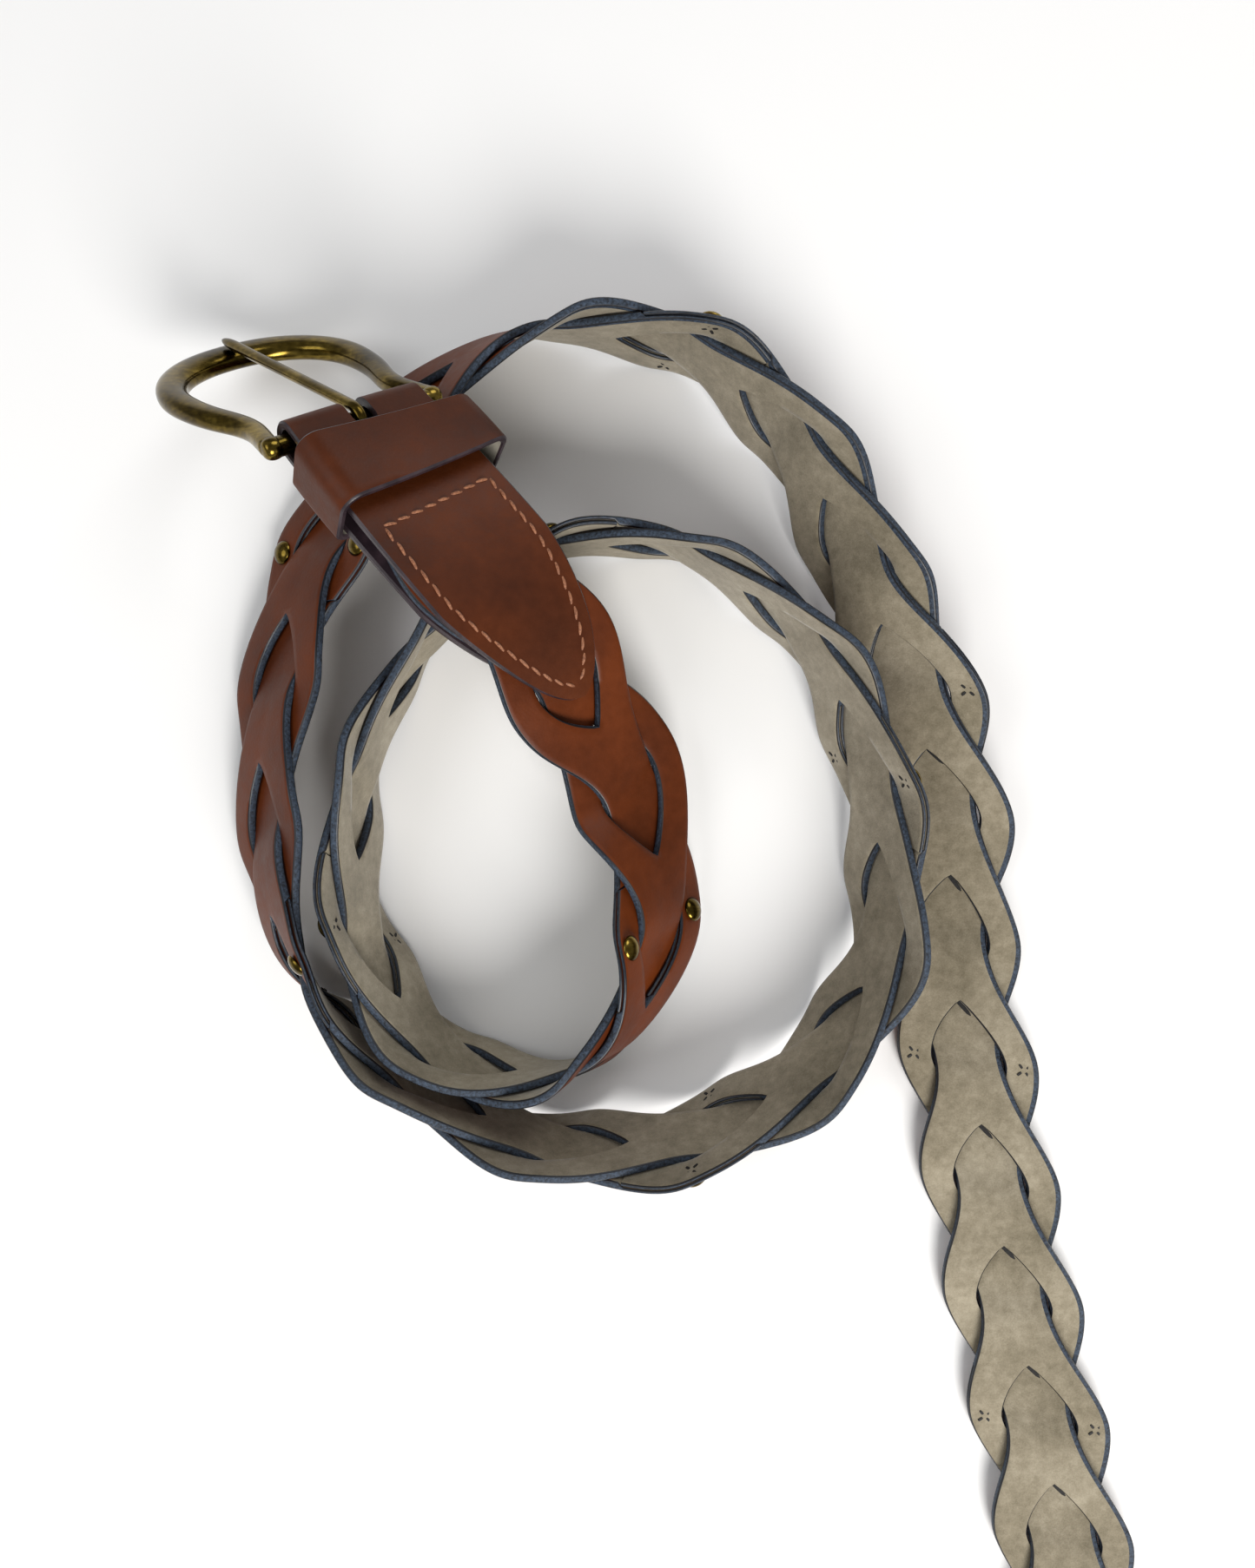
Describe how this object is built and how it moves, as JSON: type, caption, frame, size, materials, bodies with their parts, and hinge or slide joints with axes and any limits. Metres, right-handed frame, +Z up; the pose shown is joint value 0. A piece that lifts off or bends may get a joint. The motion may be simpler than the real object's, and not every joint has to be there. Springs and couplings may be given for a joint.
{
  "type": "braided leather belt",
  "caption": "Men's link-braided leather belt, coiled on edge with its tail laid flat: riveted brown straps with suede backs, a stitched leather tab, a fixed keeper and an antique brass prong buckle.",
  "frame": {"origin": "middle of the bounding box's underside, on the surface that the belt lies on", "axes": "+Y from the laid-out tip towards the buckle's side of the coil, +Z up, +X to the right of the coil"},
  "size_m": [0.2332, 0.3826, 0.0611],
  "materials": {
    "strap_leather": "smooth cognac brown front, taupe suede back",
    "tab_leather": "smooth reddish brown with painted plum edges",
    "brass": "polished antique brass"
  },
  "bodies": {
    "belt": {"keeper_loop": "tab_leather", "rivet_01a": "brass", "rivet_01b": "brass", "rivet_02a": "brass", "rivet_02b": "brass", "rivet_03a": "brass", "rivet_03b": "brass", "rivet_04a": "brass", "rivet_04b": "brass", "rivet_05a": "brass", "rivet_05b": "brass", "rivet_06a": "brass", "rivet_06b": "brass", "rivet_07a": "brass", "rivet_07b": "brass", "rivet_08a": "brass", "rivet_08b": "brass", "rivet_09a": "brass", "rivet_09b": "brass", "rivet_10a": "brass", "rivet_10b": "brass", "rivet_11a": "brass", "rivet_11b": "brass", "strap_a_1": "strap_leather", "strap_a_2": "strap_leather", "strap_a_3": "strap_leather", "strap_a_4": "strap_leather", "strap_a_5": "strap_leather", "strap_a_6": "strap_leather", "strap_a_7": "strap_leather", "strap_b_1": "strap_leather", "strap_b_2": "strap_leather", "strap_b_3": "strap_leather", "strap_b_4": "strap_leather", "strap_b_5": "strap_leather", "strap_b_6": "strap_leather", "tab_leather": "tab_leather", "tip_back": "strap_leather", "tip_front": "strap_leather"},
    "frame": {"buckle_frame": "brass"},
    "prong": {"buckle_prong": "brass"}
  },
  "joints": [
    {"name": "buckle_hinge", "type": "hinge", "parent": "belt", "child": "frame", "pos_m": [-0.06938, 0.15733, 0.0426], "axis": [0.7391, 0.4266, -0.5213], "range_deg": [-5, 60]},
    {"name": "prong_hinge", "type": "hinge", "parent": "frame", "child": "prong", "pos_m": [-0.06938, 0.15733, 0.0426], "axis": [0.7391, 0.4266, -0.5213], "range_deg": [0, 30]}
  ]
}
